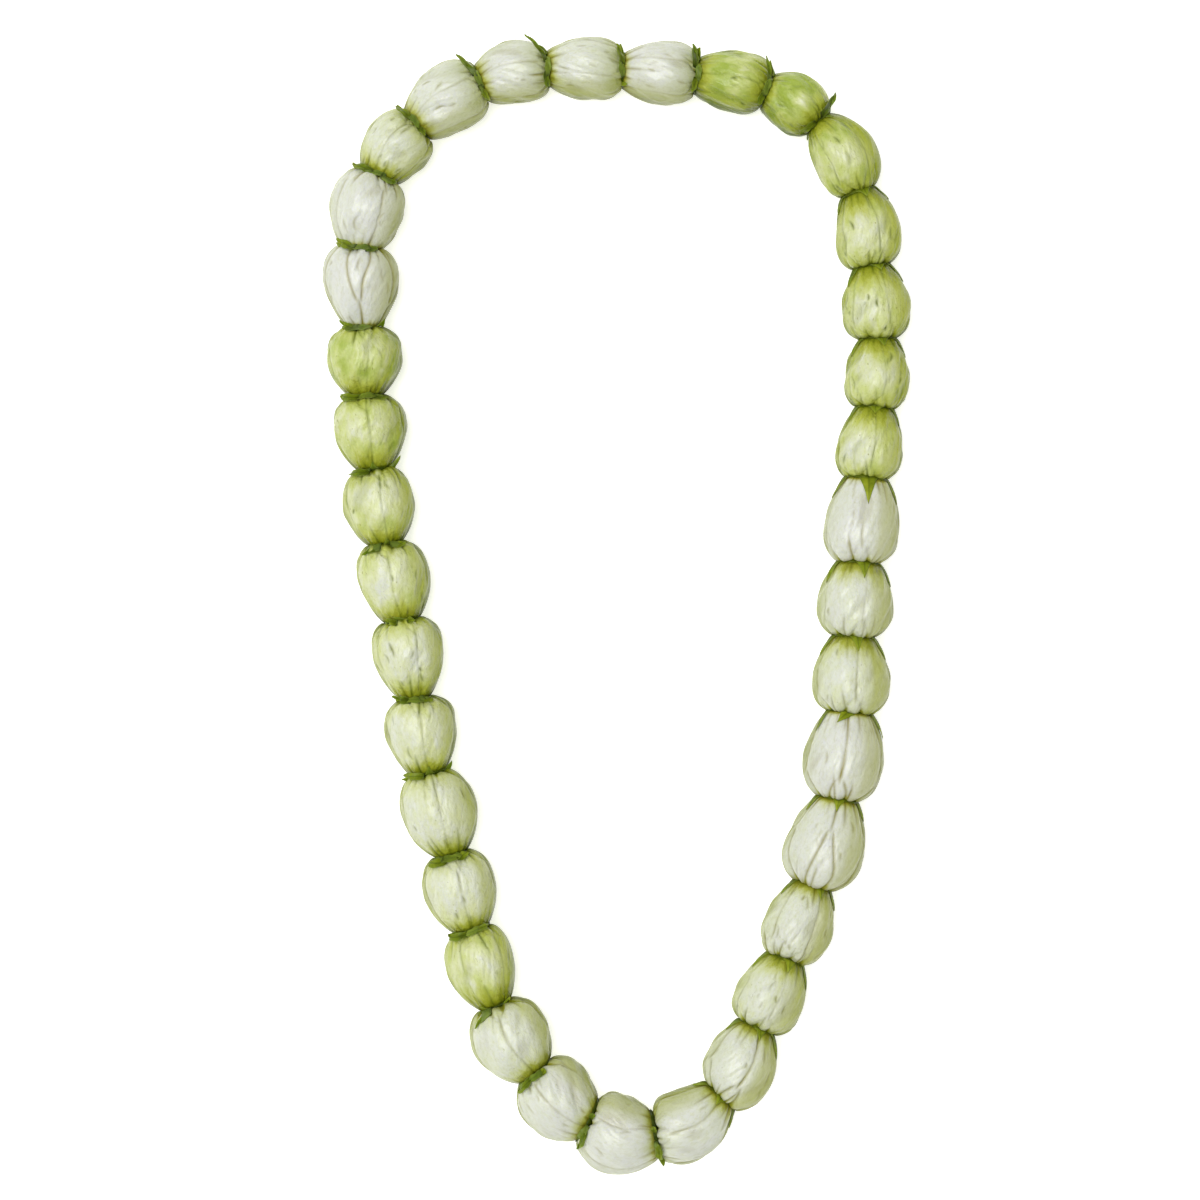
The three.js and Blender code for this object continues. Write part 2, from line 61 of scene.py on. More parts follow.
# One row for each bud, clockwise from the top left as seen from above.
# x, y: where the thread enters its base. width: greatest width. All three are as in the part's source,
# measured on the photograph's outline to half a millimetre.
# green: 0 is white and 1 is lime. sepal: length of its sepals.
# lean: how far its outer sepals are turned from its axis, in degrees; up to HUGGING the calyx hugs it.
# roll: how far a seam is turned from straight up towards the outer side, in degrees.
# seam: how deep its seams are. split: where each seam splits round its lobe.
# stain: how far the yellow green of its base reaches along it.
# base: radius of its base, as a share of its greatest. widest: how far along it is widest. Both come from
# a fit to the photograph's outline, in steps of 0.05.
# tip: how much of the yellow green is at its apex.
# inner: length of its sepals on the inner side and below, as a share of the others.
# way: how far its uppermost sepal is turned from straight along it towards the outer side, in degrees; beyond
# ACROSS_JOINT it lies across the joint.
ROWS = [
    # x, y, width, green, sepal, lean, roll, seam, split, stain, base, widest, tip, inner, way
    (-42, 159, 19.5, 0.08, 6.3, 112, 10, 0.45, 0.8, 0.26, 0.6, 0.55, 0.5, 0.4, 86),
    (-21.5, 163.5, 19.5, 0.12, 6.3, 128, -20, 0.4, 0.8, 0.24, 0.55, 0.55, 0.5, 0.4, 86),
    (1.5, 163, 19.5, 0.05, 5, 100, 20, 0.4, 0.8, 0.16, 0.55, 0.55, 0.5, 0.6, 86),
    (24, 161.5, 19, 0.9, 5.5, 105, 0, 0.4, 0.8, 0.3, 0.6, 0.6, 0.8, 0.35, 86),
    (45.5, 157, 18.5, 1, 5.2, 118, 20, 0.3, 0.8, 0.2, 0.6, 0.5, 0.9, 0.4, 86),
    (61, 147.5, 20, 0.6, 6.5, 95, 35, 0.6, 0.75, 0.25, 0.4, 0.5, 0.5, 0.4, 5),
    (73.5, 126, 20.5, 0.5, 4.5, 0, 15, 0.7, 0.75, 0.43, 0.5, 0.6, 0.4, 1, 0),
    (77.5, 103.5, 20.5, 0.5, 4.5, 5, 20, 0.5, 0.75, 0.43, 0.5, 0.6, 0.4, 1, 0),
    (79.5, 81.5, 20, 0.5, 4.5, 5, 10, 0.4, 0.78, 0.43, 0.5, 0.6, 0.45, 1, 0),
    (78.5, 60.5, 20.5, 0.5, 4.5, 0, 0, 0.6, 0.75, 0.43, 0.5, 0.6, 0.4, 1, 0),
    (76, 38.5, 23, 0.05, 9.5, 0, 0, 0.5, 0.72, 0.1, 0.55, 0.6, 0.12, 1, 0),
    (73.5, 13, 23, 0.17, 6.5, 0, 10, 0.4, 0.7, 0.4, 0.55, 0.55, 0.2, 1, 0),
    (72, -9.5, 24, 0.2, 6, 0, 5, 0.7, 0.7, 0.4, 0.5, 0.6, 0.2, 1, 0),
    (70.5, -32.5, 24.5, 0.03, 6, 20, -5, 1, 0.66, 0.1, 0.55, 0.55, 0.1, 1, -25),
    (67, -59, 24.5, 0.08, 4.5, 5, 0, 1, 0.28, 0.16, 0.5, 0.6, 0.12, 1, 0),
    (59.5, -85, 21, 0.15, 5, 5, 25, 0.6, 0.72, 0.31, 0.5, 0.6, 0.15, 1, 0),
    (51.5, -107.5, 21.5, 0.25, 5.5, 0, 10, 0.5, 0.75, 0.38, 0.5, 0.6, 0.2, 1, 0),
    (42.5, -128.5, 22.5, 0.15, 4.5, 5, 10, 1, 0.6, 0.27, 0.5, 0.55, 0.2, 1, 0),
    (31.5, -149.5, 22.5, 0.12, 4, 20, 0, 0.9, 0.72, 0.25, 0.5, 0.6, 0.3, 1, 0),
    (11.5, -161.5, 24.5, 0.05, 4.6, 92, -20, 0.5, 0.78, 0.22, 0.6, 0.5, 0.3, 0.1, 98),
    (-9, -157, 24, 0.08, 4.2, 92, 10, 0.5, 0.8, 0.25, 0.6, 0.5, 0.35, 0.1, 96),
    (-25, -142.5, 24, 0.2, 4.6, 85, 0, 0.6, 0.8, 0.3, 0.5, 0.5, 0.35, 0.1, 88),
    (-37, -122.5, 21, 0.55, 4.5, 110, 30, 0.5, 0.8, 0.4, 0.45, 0.55, 0.5, 0.7, 20),
    (-44.5, -99, 22.5, 0.3, 5, 84, -5, 0.8, 0.72, 0.29, 0.5, 0.55, 0.4, 0.4, 86),
    (-50.5, -76.5, 23, 0.3, 5, 84, -5, 0.6, 0.75, 0.29, 0.4, 0.5, 0.4, 0.3, -86),
    (-57.5, -51.5, 22, 0.35, 5.2, 76, -5, 0.6, 0.75, 0.3, 0.5, 0.6, 0.45, 0.8, 0),
    (-61.5, -29, 22, 0.4, 4.6, 62, -20, 0.5, 0.78, 0.3, 0.4, 0.6, 0.45, 0.3, 86),
    (-65.5, -5, 22, 0.45, 2.5, 70, 0, 0.5, 0.78, 0.32, 0.5, 0.6, 0.45, 0.3, 40),
    (-70.5, 18, 21.5, 0.5, 4.5, 105, -10, 0.5, 0.78, 0.32, 0.45, 0.5, 0.5, 0.4, 10),
    (-74, 41, 22.5, 0.65, 5, 90, 0, 0.8, 0.75, 0.36, 0.45, 0.6, 0.5, 1, 0),
    (-76.5, 63, 23, 0.75, 5.4, 76, -10, 0.5, 0.7, 0.36, 0.4, 0.55, 0.5, 0.4, 86),
    (-77.5, 84, 23.5, 0.03, 4.8, 68, 0, 0.9, 0.2, 0.12, 0.4, 0.65, 0.25, 0.9, -86),
    (-78, 108, 23, 0.05, 5.2, 74, -25, 0.6, 0.7, 0.14, 0.5, 0.55, 0.3, 0.3, 86),
    (-73, 130.5, 20.5, 0.25, 5.6, 84, 10, 0.5, 0.8, 0.34, 0.6, 0.6, 0.5, 0.4, 86),
    (-61.5, 146, 21.5, 0.1, 4.6, 86, 10, 0.5, 0.8, 0.28, 0.55, 0.55, 0.5, 0.3, -86),
]
NAMES = "x y width green sepal lean roll seam split stain base widest tip inner way".split()
HUGGING = 20
ACROSS_JOINT = 60
LEVEL_WAY = 86  # of a sepal that starts just short of the top
SHADED_OUTSIDE = range(6, 19)  # buds whose painted shade, a darker warmer green, falls on their outer side; the rest have it on the inner
KNOT_BUD = 18  # row of the bud whose dimple holds the knot
KNOT_BACK = 2.9  # the knot's centre, behind the plane where that bud meets the next
KNOT_SIZE = 0.36

PETALS = 5  # and as many sepals
CRIMPS = 16  # creases round the apex of a corolla
PLEATS = 15  # creases round its base
PUCKERS = 22  # short creases on its flank
COLUMNS = 256  # round a corolla
BASE_ROWS = 12  # of a corolla, under its calyx
FLANK_ROWS = 48
SHOULDER_ROWS = 34
DIMPLE_ROWS = 24
BASE_BACK = 0.8  # how far the edge of its base goes back, in millimetres
HOLE_EDGE = 0.08  # radius of its hole at both ends, as a share
DIMPLE_EDGE = 0.66  # radius where its shoulder turns into the dimple, as a share
COROLLA_SEED = 4000
CALYX_SEED = 9000
UP = np.array([0.0, 0.0, 1.0])


def smooth(low, high, value):
    """0 at low and 1 at high, with an easy run between; low may be the larger."""
    x = np.clip((value - low) / (high - low), 0, 1)
    return x * x * (3 - 2 * x)


def held(excess):
    """How far something is pushed back that goes excess too far: with a soft bend, as flesh gives."""
    soft = 0.45
    return soft * np.logaddexp(0, excess / soft)


def unit(v):
    return v / np.linalg.norm(v)


def units(v):
    """Directions of length 1, along the last axis of an array."""
    return v / np.linalg.norm(v, axis=-1)[..., None]


def wrap(degrees):
    return (degrees + 180) % 360 - 180


# ---------------------------------------------------------------- the string of buds


def strung():
    buds = [dict(zip(NAMES, row)) for row in ROWS]
    count = len(buds)
    for i, bud in enumerate(buds):
        after = buds[(i + 1) % count]
        bud["number"] = i + 1
        bud["start"] = np.array([bud["x"] + CENTRE_X, bud["y"] + CENTRE_Y, 0.0])
        bud["end"] = np.array([after["x"] + CENTRE_X, after["y"] + CENTRE_Y, 0.0])
        bud["length"] = float(np.linalg.norm(bud["end"] - bud["start"]))
        bud["axis"] = unit(bud["end"] - bud["start"])
        bud["side"] = np.cross(UP, bud["axis"])
        bud["radius"] = bud["width"] / 2
        bud["height"] = bud["radius"] - PRESS
        bud["body"] = bud["length"] + OVERLAP
        bud["after_base"] = after["base"] * after["width"] / 2  # what the lobes of its apex close round
        # the side that takes the painted shade: 1 for the outer, -1 for the inner
        bud["shaded_side"] = 1 if bud["number"] in SHADED_OUTSIDE else -1
    for i, bud in enumerate(buds):
        before = buds[i - 1]
        bud["before"] = before
        bud["facing"] = unit(before["axis"] + bud["axis"])
    for i, bud in enumerate(buds):
        bud["end_facing"] = buds[(i + 1) % count]["facing"]
        ways = bud["facing"], bud["end_facing"]
        bud["tilts"] = [math.atan2(way @ bud["side"], way @ bud["axis"]) for way in ways]
        bend = bud["tilts"][0] - bud["tilts"][1]
        bud["bow"] = BOW * bend * bud["length"] / 8  # an arc stands out from its chord by an eighth of this
    return buds


def aside(bud, t):
    """How far the middle of a bud stands out from the thread's chord."""
    return bud["bow"] * np.sin(np.pi * np.clip(t / bud["length"], 0, 1)) ** 1.2


def tilt(bud, t):
    """How far a section across a bud is turned, as the string bends."""
    first, last = bud["tilts"]
    return first + (last - first) * np.clip(t / bud["length"], 0, 1)


def placed(bud, t, r, turn):
    """Places t along a bud's axis, r from it, turned from straight up to the outer side, in radians."""
    t, r, turn = np.broadcast_arrays(t, r, turn)
    out, up, angle = r * np.sin(turn), r * np.cos(turn) + bud["height"], tilt(bud, t)
    ahead = t - out * np.sin(angle)
    across = aside(bud, t) + out * np.cos(angle)
    level = bud["start"] + ahead[..., None] * bud["axis"] + across[..., None] * bud["side"]
    return level + up[..., None] * UP


def within(bud, points):
    """Where places lie in a bud: how far along its axis and how far from it."""
    off = points - bud["start"]
    ahead, across = off @ bud["axis"], off @ bud["side"]
    t = ahead
    for _ in range(3):
        out = (across - aside(bud, t)) / np.cos(tilt(bud, t))
        t = ahead + out * np.sin(tilt(bud, t))
    return t, np.hypot(out, off[..., 2] - bud["height"])


def profile(bud, share):
    """Radius of a corolla at a share of its length, as a share of its greatest."""
    share = np.asarray(share, float)
    before = np.clip(share / bud["widest"], 0, 1) ** SWELL
    low = bud["base"] + (1 - bud["base"]) * np.sin(np.pi / 2 * before)
    beyond = np.clip((share - bud["widest"]) / (1 - bud["widest"]), 0, 1)
    high = (1 - beyond**FULLNESS) ** (1 / FULLNESS)
    return np.where(share < bud["widest"], low, high)


def outline(bud):
    """The corolla's section from the hole at its base, over its flank, into the dimple of its apex:
    distance along the axis and from it, as shares, how far along the flank each place is, and how
    far inside the apex."""
    widest, cap = bud["widest"], 1 - bud["widest"]
    t, r = [], []
    back = BASE_BACK / bud["body"]
    for share in np.linspace(0, 1, BASE_ROWS + 1)[:-1]:  # under the calyx, from the hole round its edge
        edge = smooth(0, 0.6, share) * (1 - np.clip((share - 0.5) / 0.5, 0, 1) ** 2)
        t.append(0.02 * (1 - share) - back * edge)
        r.append(HOLE_EDGE + (bud["base"] - HOLE_EDGE) * share**0.8)
    for share in np.linspace(0, 1, FLANK_ROWS + 1)[:-1]:
        t.append(widest * share**1.1)
        r.append(float(profile(bud, t[-1])))
    for angle in np.linspace(0, np.pi / 2, SHOULDER_ROWS):
        rr = math.cos(angle) ** (2 / FULLNESS)
        if rr < DIMPLE_EDGE:
            break
        t.append(widest + cap * math.sin(angle) ** (2 / FULLNESS))
        r.append(rr)
    last = r[-1]
    for share in np.linspace(0, 1, DIMPLE_ROWS + 1)[1:]:
        rr = last + (HOLE_EDGE - last) * share
        t.append(widest + cap * (1 - rr**FULLNESS) ** (1 / FULLNESS))
        r.append(rr)
    t, r = np.array(t), np.array(r)
    flank = np.maximum.accumulate(np.where(np.arange(len(t)) < BASE_ROWS, 0, t))
    dimple = 1.1 * bud["after_base"] / bud["radius"]
    hollow = DIMPLE * np.clip(1 - (r / dimple) ** 2, 0, 1) ** 1.5
    t = np.where(flank > widest, t - hollow, t)
    inside = np.clip((last - r) / last, 0, 1) * (flank > widest)
    return t, r, flank, inside


def line(distance, width):
    """A crease's depth across it: sharp at its bottom, with rounded shoulders."""
    return np.exp(-np.sqrt(distance**2 + (0.25 * width) ** 2) / width)


def skin_of(points, t, r):
    """A corolla's surface with its creases smoothed over, the way out from it at each place, and for each
    row how far it is from the edge of the base and from the axis."""
    points = sum(np.roll(points, shift, axis=1) for shift in range(-4, 5)) / 9
    round_it = np.roll(points, -1, axis=1) - np.roll(points, 1, axis=1)
    out = units(np.cross(np.gradient(points, axis=0), round_it))
    far = np.concatenate([[0], np.cumsum(np.hypot(np.diff(t[:, 0]), np.diff(r[:, 0])))])
    return points, out, far - far[BASE_ROWS], r[:, 0]


def on_skin(bud, far, turn):
    """Places on a corolla, far from the edge of its base and turned from straight up, and the way out."""
    points, out, rows, _ = bud["skin"]
    row = np.interp(far, rows, np.arange(len(rows)))
    column = turn / (2 * np.pi) * COLUMNS
    i = np.minimum(np.floor(row).astype(int), len(rows) - 2)
    j = np.floor(column).astype(int)
    p, q = (row - i)[..., None], (column - j)[..., None]
    j, k = j % COLUMNS, (j + 1) % COLUMNS

    def between(grid):
        near = (1 - q) * grid[i, j] + q * grid[i, k]
        return (1 - p) * near + p * ((1 - q) * grid[i + 1, j] + q * grid[i + 1, k])

    return between(points), between(out)


def corolla(bud):
    """Points, their creases, stain, green and painted shade, and places for the grain of its skin."""
    draw = np.random.RandomState(COROLLA_SEED + bud["number"])
    radius, length = bud["radius"], bud["body"]
    turn = np.linspace(0, 360, COLUMNS, endpoint=False)[None, :]  # from straight up
    along, out, u, inside = (column[:, None] for column in outline(bud))
    r, t = out * radius, along * length
    theta = turn - bud["roll"]
    arc = math.pi / 180 * r  # millimetres for one degree
    dent = np.zeros((len(u), COLUMNS))
    crease = np.zeros_like(dent)

    # a crease is dented and coloured olive: partly its own colour, partly painted shade in the dent
    def cut(distance, width, depth, shade):
        nonlocal dent, crease
        dent = np.maximum(dent, line(distance, width) * depth)
        crease = np.maximum(crease, line(distance, max(0.8 * np.min(width), 0.38)) * shade)

    # the seams, each split round a lobe towards the apex
    leafy = min(bud["green"] / 0.4, 1)
    apex = smooth(0.6, 0.97, u)
    for k in range(PETALS):
        sway = draw.uniform(1, 4) * np.sin(2 * np.pi * (u * draw.uniform(0.5, 1.1) + draw.rand()))
        centre = 360 / PETALS * k + sway * (1 - apex)
        split = bud["split"] + draw.uniform(-0.04, 0.04)
        spread = draw.uniform(15, 20) * smooth(split, 1.02, u) ** 0.8
        spread = spread + 4 * smooth(split - 0.04, split + 0.1, u)
        single = 1 - smooth(split, split + 0.14, u)
        strength = bud["seam"] * draw.uniform(0.75, 1.1)
        fade = 0.55 + 0.45 * np.cos(np.pi * np.clip(u / 0.7, 0, 1)) ** 2
        gap = wrap(theta - centre) * arc
        cut(gap, 0.3, 0.7 * strength * single * fade, 1.1 * strength * single * fade)
        dent = dent + 0.32 * strength * single * np.exp(-((gap / 1.9) ** 2))
        for hand in (-1, 1):
            gap = wrap(theta - centre - hand * spread) * arc
            early = strength * smooth(split, split + 0.12, u) * (1 if bud["split"] < 0.68 else 0.5)
            late = draw.uniform(0.6, 1.15) * apex
            depth = np.maximum(0.6 * early, 0.105 * radius * late)
            wide = 0.34 + 0.6 * apex
            shade = np.maximum(0.85 * early, 0.6 * late * smooth(0.72, 0.98, u))
            cut(gap, wide, depth, shade)

    # the lobes stand unevenly
    halves = 2 * PETALS
    lobes = draw.uniform(-0.045, 0.045, halves) * radius
    where = (theta / (360 / halves) + 0.5) % halves
    low = np.floor(where).astype(int) % halves
    part = smooth(0.15, 0.85, where - np.floor(where))
    lift = lobes[low - 1] * (1 - part) + lobes[low] * part
    rise = lift * smooth(0.78, 0.98, u)

    # crimps at the apex
    for j in range(CRIMPS):
        centre = 360 / CRIMPS * j + draw.uniform(-10, 10) + draw.uniform(-34, 34) * (1 - u)
        start = draw.uniform(0.55, 0.84)
        fade = smooth(start, min(start + 0.22, 1), u)
        strength = draw.uniform(0.3, 1.1)
        shade = 0.9 * strength * fade * (0.35 + 0.65 * fade)
        cut(wrap(theta - centre) * arc, 0.45, 0.8 * strength * fade, shade)

    # pleats at the base
    for j in range(PLEATS):
        centre = 360 / PLEATS * j + draw.uniform(-8, 8) + draw.uniform(-25, 25) * u
        reach = draw.uniform(0.08, 0.34)
        fade = np.clip(1 - u / reach, 0, 1) ** 0.6
        strength = draw.uniform(0.4, 1.1)
        cut(wrap(theta - centre) * arc, 0.56, 0.5 * strength * fade, 1.15 * strength * fade)

    # short creases and puckers
    for _ in range(PUCKERS):
        uc, ac = draw.uniform(0.12, 0.85), draw.uniform(0, 360)
        half = draw.uniform(0.8, 2.8) / length
        slant = draw.uniform(-22, 22)
        bend = draw.uniform(-30, 30)
        v = (u - uc) / half
        centre = ac + slant * (u - uc) * 3 + bend * half * (v**2) * 2
        fade = np.clip(1 - v**2, 0, 1)
        strength = draw.uniform(0.2, 1) ** 1.3
        cut(wrap(theta - centre) * arc, 0.48, 0.26 * strength * fade, (0.6 + 0.5 * leafy) * strength * fade)

    # long soft folds, and fine wrinkles
    body = np.sin(np.pi * np.clip(u, 0.02, 0.98)) ** 0.5
    folds = 0
    for n, size in ((2, 0.2), (3, 0.24), (5, 0.18), (8, 0.11), (11, 0.07)):
        phase, drift = draw.uniform(0, 2 * np.pi), draw.uniform(-0.7, 0.7)
        swell = 0.6 + 0.4 * np.sin(2 * np.pi * (u * draw.uniform(0.7, 1.6) + draw.rand()))
        folds = folds + size * swell * np.cos(np.radians(n * theta) + 2 * np.pi * drift * u + phase)
    folds = folds * body * smooth(-0.1, 0.3, u)
    for _ in range(7):  # dents
        n, m = draw.randint(3, 12), draw.uniform(0.8, 3.2)
        wave = np.cos(np.radians(n * theta) + 2 * np.pi * m * u + draw.uniform(0, 6.3))
        folds = folds + 0.065 * body * wave
    fine = 0
    for _ in range(9):
        n, m = draw.randint(16, 46), draw.uniform(2, 7)
        fine = fine + np.cos(np.radians(n * theta) + 2 * np.pi * m * u + draw.uniform(0, 6.3))
    fine = fine * 0.016 * body
    # painted shade in the valleys of the long folds
    crease = np.maximum(crease, 0.24 * smooth(0.1, 0.5, -folds))

    # the folds fade in the dimple, where the lobes meet
    room = smooth(0.1, 0.5, out)
    height = (folds + fine + rise) * room - dent * (0.25 + 0.75 * room)

    # each place moves square to the outline
    dt = np.gradient(t[:, 0])
    dr = np.gradient(r[:, 0])
    size = np.hypot(dt, dr)
    normal_t, normal_r = (-dr / size)[:, None], (dt / size)[:, None]
    t = t + normal_t * height
    r = np.maximum(r + normal_r * height, BORE)
    points = placed(bud, t, r, np.radians(turn + 0 * t))

    # pressed against the neighbours and on the surface
    ahead = (points - bud["start"]) @ bud["facing"]
    limit = 0.1 - (BASE_BACK + 0.1) * smooth(1.05, 0.8, r / (bud["base"] * radius))
    points = points + held(limit - ahead)[..., None] * bud["facing"]
    past = (points - bud["end"]) @ bud["end_facing"]
    reach = 0.1 + np.clip((r - bud["after_base"]) / 0.9, 0, 2)
    points = points - held(past - reach)[..., None] * bud["end_facing"]
    points[..., 2] = np.maximum(points[..., 2], 0)
    bud["skin"] = skin_of(points, along * length, out * radius)
    beyond = points[u[:, 0] > bud["widest"]]
    apex_t, apex_r = (column.mean(axis=1)[::-1] for column in within(bud, beyond))
    bud["apex"] = apex_t, np.maximum.accumulate(apex_r)

    # where it is stained yellow green: at its base, in streaks, and round the lobes
    streak = 0
    for n, size in ((4, 0.3), (7, 0.3), (11, 0.25), (17, 0.2), (23, 0.15)):
        streak = streak + size * np.cos(np.radians(n * theta) + draw.uniform(0, 6.3))
    reach = bud["stain"] * (1.1 + 0.3 * streak)
    stain = 0.84 * np.clip(1 - u / np.maximum(reach, 0.03), 0, 1) ** (2.6 - 1.1 * leafy)
    tip = smooth(0.74 - 0.26 * bud["tip"], 1.03, u) * bud["tip"] * (0.5 + 0.35 * leafy) * (1 + 0.4 * streak)
    # deeper green in the deepest dents by the apex: partly stain, partly painted shade
    rim = smooth(0.84, 0.98, u) * smooth(0.2, 0.9, dent / (0.07 * radius)) * (0.7 + 0.3 * leafy)
    stain = np.maximum(stain, np.maximum(tip, rim))
    # painted shade: the inside of its dimple is coloured dark
    stain = np.maximum(stain, 0.9 * smooth(0.25, 0.8, inside))
    grain = np.stack(
        [
            r * np.cos(np.radians(theta)) + 37 * bud["number"],
            r * np.sin(np.radians(theta)),
            0.16 * t + 0 * theta,
        ],
        axis=-1,
    )
    # painted shade where its ends meet the next bud, and deep in its dimple
    ends = np.maximum(smooth(0.88, 0.98, u), 0.9 * smooth(0.06, 0, u))
    depth = np.maximum(crease, ends * (0.5 + 0.5 * leafy)) + 0.6 * smooth(0.35, 0.9, inside)
    # painted shade: its flanks duller than its top, and the side away from the light a warmer, darker green
    facing_up = np.cos(np.radians(turn))
    low = -0.3 if bud["shaded_side"] > 0 else -0.05
    shaded_side = smooth(low, low + 1, np.cos(np.radians(turn - 105 * bud["shaded_side"])) + 0.12 * streak)
    green = bud["green"] * (1 + leafy * (0.95 * (u - 0.54) ** 2 / 0.25 - 0.2))
    values = {"crease": np.clip(depth, 0, 1), "stain": stain, "green": np.clip(green + 0 * dent, 0, 1)}
    shaded = 1 - 0.6 * smooth(-0.1, -0.7, facing_up)  # the painted shade fades again on its underside
    flank = smooth(0.88, 0.12, facing_up) * (1 - 0.25 * smooth(0.4, 0.8, u)) * shaded
    # painted shade too on an end that points to the lei's right, away from the light
    right = bud["axis"][0]
    end = 0.8 * max(right, 0) * smooth(0.4, 0.95, u) + 0.4 * max(-right, 0) * smooth(0.35, 0, u)
    flank = np.maximum(flank, end)
    values["flank"] = np.clip(flank + 0 * dent, 0, 1)
    values["shaded_side"] = shaded_side * shaded + 0 * dent
    # painted shade round its outline as seen from above, where it turns away from the light
    values["limb_shade"] = smooth(0.42, 0.04, facing_up) * shaded + 0 * dent
    return points, values, grain


# ---------------------------------------------------------------- meshes


def finished(name, mesh, values, material):
    """A smooth object from a mesh, with a value for each of its places."""
    for key, value in values.items():
        layer = mesh.attributes.new(key, "FLOAT", "POINT")
        layer.data.foreach_set("value", value.astype(np.float32).ravel())
    mesh.polygons.foreach_set("use_smooth", np.ones(len(mesh.polygons), bool))
    mesh.materials.append(material)
    obj = bpy.data.objects.new(name, mesh)
    bpy.context.scene.collection.objects.link(obj)
    return obj


def mesh_object(name, points, faces, values, grain, material):
    """An object of faces that all have as many corners."""
    mesh = bpy.data.meshes.new(name)
    flat = points.reshape(-1, 3) * MM
    mesh.vertices.add(len(flat))
    mesh.vertices.foreach_set("co", flat.astype(np.float32).ravel())
    faces = np.asarray(faces, np.int32)
    sides = faces.shape[1]
    mesh.loops.add(faces.size)
    mesh.loops.foreach_set("vertex_index", faces.ravel())
    mesh.polygons.add(len(faces))
    mesh.polygons.foreach_set("loop_start", np.arange(0, faces.size, sides, dtype=np.int32))
    mesh.update(calc_edges=True)
    if grain is not None:
        layer = mesh.attributes.new("grain", "FLOAT_VECTOR", "POINT")
        layer.data.foreach_set("vector", grain.astype(np.float32).ravel())
    obj = finished(name, mesh, values, material)
    mesh.validate()
    return obj


def poly_object(name, points, quads, values, material):
    """An object of quads, where one that names a corner twice is a triangle."""
    polygons = [tuple(q) if q[2] != q[3] else tuple(q[:3]) for q in quads.tolist()]
    mesh = bpy.data.meshes.new(name)
    mesh.from_pydata((points * MM).tolist(), [], polygons)
    return finished(name, mesh, values, material)


def grid_faces(rows, columns, first=0, close_rows=False):
    """Quads of a grid that closes round its columns, and round its rows if asked."""
    i = np.arange(rows if close_rows else rows - 1)[:, None]
    j = np.arange(columns)[None, :]
    k, m = (i + 1) % rows, (j + 1) % columns
    quads = np.stack([i * columns + j, k * columns + j, k * columns + m, i * columns + m], axis=-1)
    return quads.reshape(-1, 4) + first


# ---------------------------------------------------------------- the calyx


def short_of_apex(bud, points, room):
    """How far places lie short of clearing the apex of a bud by room, along its axis."""
    t, r = within(bud, points)
    apex_t, apex_r = bud["apex"]
    return np.interp(r, apex_r, apex_t) + room - t


SEPAL_ROWS = 22
SEPAL_ACROSS = 11
ACROSS = np.cos(np.linspace(math.pi, 0, SEPAL_ACROSS))
RING = np.concatenate([ACROSS, ACROSS[-2:0:-1]])[None, :]  # across a sepal, over its face and back under it
FACE = np.concatenate([np.ones(SEPAL_ACROSS), -np.ones(SEPAL_ACROSS - 2)])[None, :]
SWELL_ACROSS = np.sqrt(np.clip(1 - RING**2, 0, 1))
KEEL = np.exp(-((RING / 0.22) ** 2)) * (FACE > 0)


def hugging_sepal(bud, seam, way, long, broad, lift, full, draw):
    """Rings of a sepal that lies on the corolla, turned by way from along it, and lifts at its tip."""
    a = np.linspace(0, 1, SEPAL_ROWS)[:, None]
    lens = smooth(0.6, 1.1, abs(way))
    tapered = (0.9 * (1 - a) + 0.1 * (1 - a) ** 3) * (1 - full) + 0.9 * full * np.clip(1 - a**2, 0, 1) ** 0.8
    width = broad * (tapered * (1 - lens) + lens * np.clip(3.6 * (0.04 + a) * (1 - a), 0, 1) ** 0.7) + 0.08
    sideways = RING * width / 2
    bent = way * (1 - 0.25 * lens * a)
    far = long * a * np.cos(bent) - sideways * np.sin(bent) - 0.35 + 0.5 * lens * smooth(0, 0.4, a)
    round_it = long * a * np.sin(bent) + sideways * np.cos(bent)
    far = np.maximum(far, -0.6)
    _, _, rows, radii = bud["skin"]
    points, out = on_skin(bud, far, seam + round_it / np.interp(far, rows, radii))
    thick = 0.55 * (1 - 0.5 * a) * np.sqrt(np.clip(1.01 - a**4, 0, 1))
    height = 0.06 + lift * a**2 + thick * (0.5 + 0.5 * FACE * SWELL_ACROSS) + 0.14 * KEEL
    height = height + 0.05 * np.sin(8 * a + 2.5 * RING + draw.uniform(0, 6))
    return points + height[..., None] * out, thick


def groove_radius(bud, t):
    """Radius of the surface that a sepal rests on, in the groove between a bud and the one before it."""
    apex_t, apex_r = bud["before"]["apex"]
    beyond = apex_r > 0.9 * bud["base"] * bud["radius"]
    reach = -np.minimum.accumulate(apex_t[beyond])
    apex = np.interp(-(bud["before"]["length"] + t), reach, apex_r[beyond])
    base = profile(bud, np.clip(t, 0, None) / bud["body"]) * bud["radius"]
    return np.maximum((apex + 0.55) * (t < 0.6), base)  # the lobes of the apex stand unevenly


